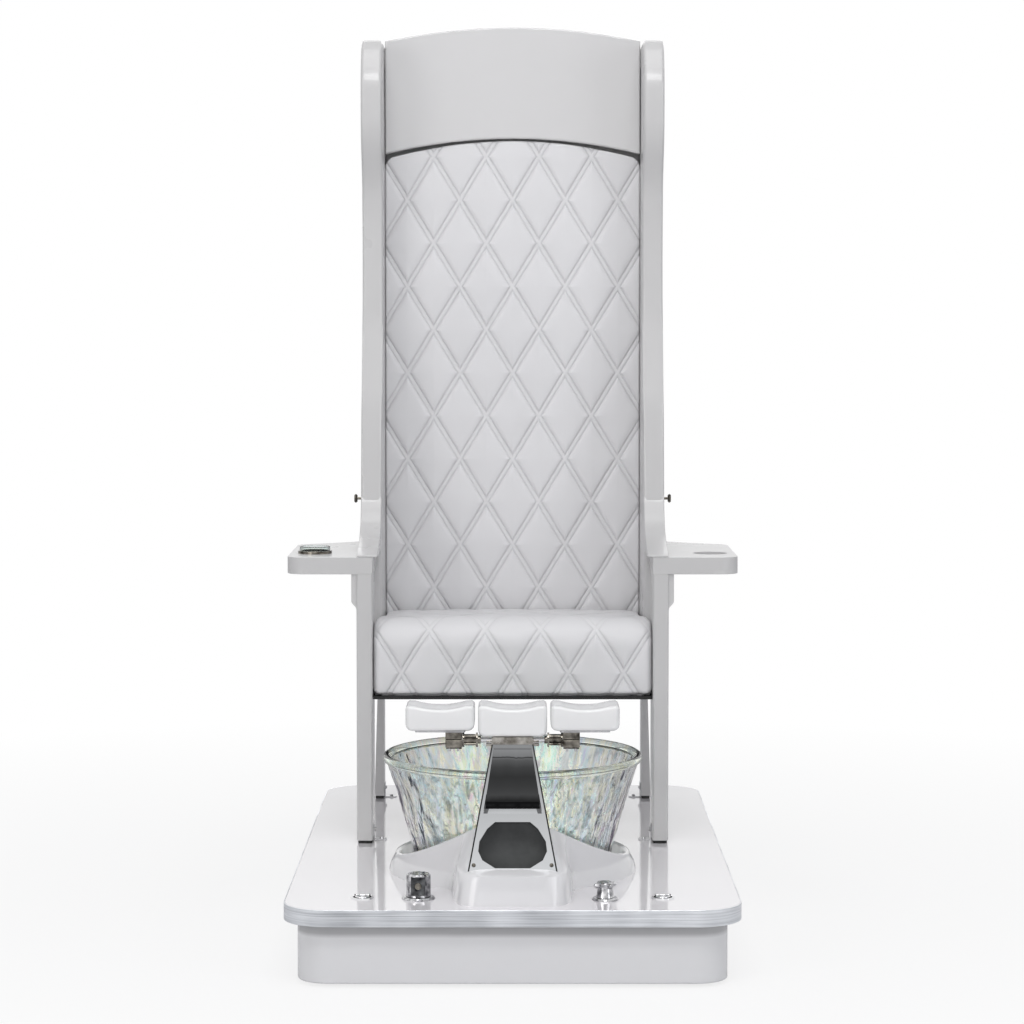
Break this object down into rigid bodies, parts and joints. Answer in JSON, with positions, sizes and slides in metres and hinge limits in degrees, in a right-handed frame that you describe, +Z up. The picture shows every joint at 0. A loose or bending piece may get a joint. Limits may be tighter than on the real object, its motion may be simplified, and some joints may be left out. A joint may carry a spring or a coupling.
{
  "type": "pedicure spa chair",
  "caption": "White pedicure spa chair with quilted high back, glass foot bowl, chrome column and hinged footrest pads on a low deck.",
  "frame": {"origin": "on the floor under the middle of the deck, at the bottom centre of the whole chair's box", "axes": "+Z up, the chair and its bowl face -Y, +X to the right of someone who stands in front of it"},
  "size_m": [0.828, 1.27, 1.657],
  "materials": {
    "gloss_white": "gloss",
    "deck_white": "gloss",
    "moulded_white": "gloss",
    "pad_white": "gloss",
    "lacquered_wood": "gloss",
    "raw_wood": "matte",
    "upholstery": "satin",
    "black_board": "matte",
    "rubber": "matte",
    "brushed_band": "brushed",
    "chrome": "polished",
    "dark_chrome": "polished",
    "steel": "satin",
    "brass": "satin",
    "glass": "clear"
  },
  "bodies": {
    "chair": {"plinth": "gloss_white", "plinth_joists": "raw_wood", "plinth_feet": "rubber", "deck_board": "deck_white", "deck_band": "brushed_band", "left_ring_cup": "chrome", "right_ring_cup": "chrome", "spa_base": "moulded_white", "bowl_gasket": "rubber", "glass_bowl": "glass", "drain_flange": "chrome", "drain_washer": "rubber", "drain_nut": "brass", "drain_tailpiece": "brass", "column": "chrome", "column_screws": "dark_chrome", "footrest_bar": "chrome", "footrest_rod": "chrome", "rod_frames": "dark_chrome", "centre_pad": "pad_white", "mixer_valve": "brass", "mixer_plate": "chrome", "diverter_valve": "brass", "diverter_plate": "chrome", "front_legs": "lacquered_wood", "rear_legs": "lacquered_wood", "leg_glides": "rubber", "leg_brackets": "steel", "bracket_screws": "steel", "left_stile": "lacquered_wood", "right_stile": "lacquered_wood", "side_rails": "lacquered_wood", "left_armrest": "lacquered_wood", "right_armrest": "lacquered_wood", "arm_corbels": "lacquered_wood", "back_board": "lacquered_wood", "headrest_panel": "lacquered_wood", "back_cushion": "upholstery", "seat_board": "black_board", "seat_cushion": "upholstery", "hook_knobs": "dark_chrome", "dish_collar": "dark_chrome"},
    "left_pad_unit": {"left_pad": "pad_white", "left_pad_plate": "steel", "left_hinge_block": "dark_chrome", "hinge_set_screws_left": "steel"},
    "right_pad_unit": {"right_pad": "pad_white", "right_pad_plate": "steel", "right_hinge_block": "dark_chrome", "hinge_set_screws_right": "steel"},
    "mixer_control": {"mixer_knob": "chrome", "mixer_plug": "dark_chrome"},
    "diverter_control": {"cross_handle": "chrome"},
    "left_pull": {"left_ring": "chrome"},
    "right_pull": {"right_ring": "chrome"},
    "dish": {"dish_glass": "glass"},
    "stopper": {"drain_stopper": "chrome"}
  },
  "joints": [
    {"name": "left_pad_tilt", "type": "hinge", "parent": "chair", "child": "left_pad_unit", "pos_m": [-0.098, -0.51241, 0.396], "axis": [1, 0, 0], "range_deg": [-35, 20]},
    {"name": "right_pad_tilt", "type": "hinge", "parent": "chair", "child": "right_pad_unit", "pos_m": [0.098, -0.51241, 0.396], "axis": [1, 0, 0], "range_deg": [-35, 20]},
    {"name": "mixer_turn", "type": "hinge", "parent": "chair", "child": "mixer_control", "pos_m": [-0.157, -0.535, 0.137], "axis": [0, 0, 1], "range_deg": [-90, 90]},
    {"name": "diverter_turn", "type": "hinge", "parent": "chair", "child": "diverter_control", "pos_m": [0.154, -0.544, 0.137], "axis": [0, 0, 1], "range_deg": [0, 90]},
    {"name": "left_pull_flip", "type": "hinge", "parent": "chair", "child": "left_pull", "pos_m": [-0.251, -0.5205, 0.1354], "axis": [-1, 0, 0], "range_deg": [0, 90]},
    {"name": "right_pull_flip", "type": "hinge", "parent": "chair", "child": "right_pull", "pos_m": [0.251, -0.5205, 0.1354], "axis": [-1, 0, 0], "range_deg": [0, 90]},
    {"name": "dish_lift", "type": "slide", "parent": "chair", "child": "dish", "axis": [0, 0, 1], "range_m": [0, 0.04]},
    {"name": "stopper_lift", "type": "slide", "parent": "chair", "child": "stopper", "axis": [0, 0, 1], "range_m": [0, 0.012]}
  ]
}
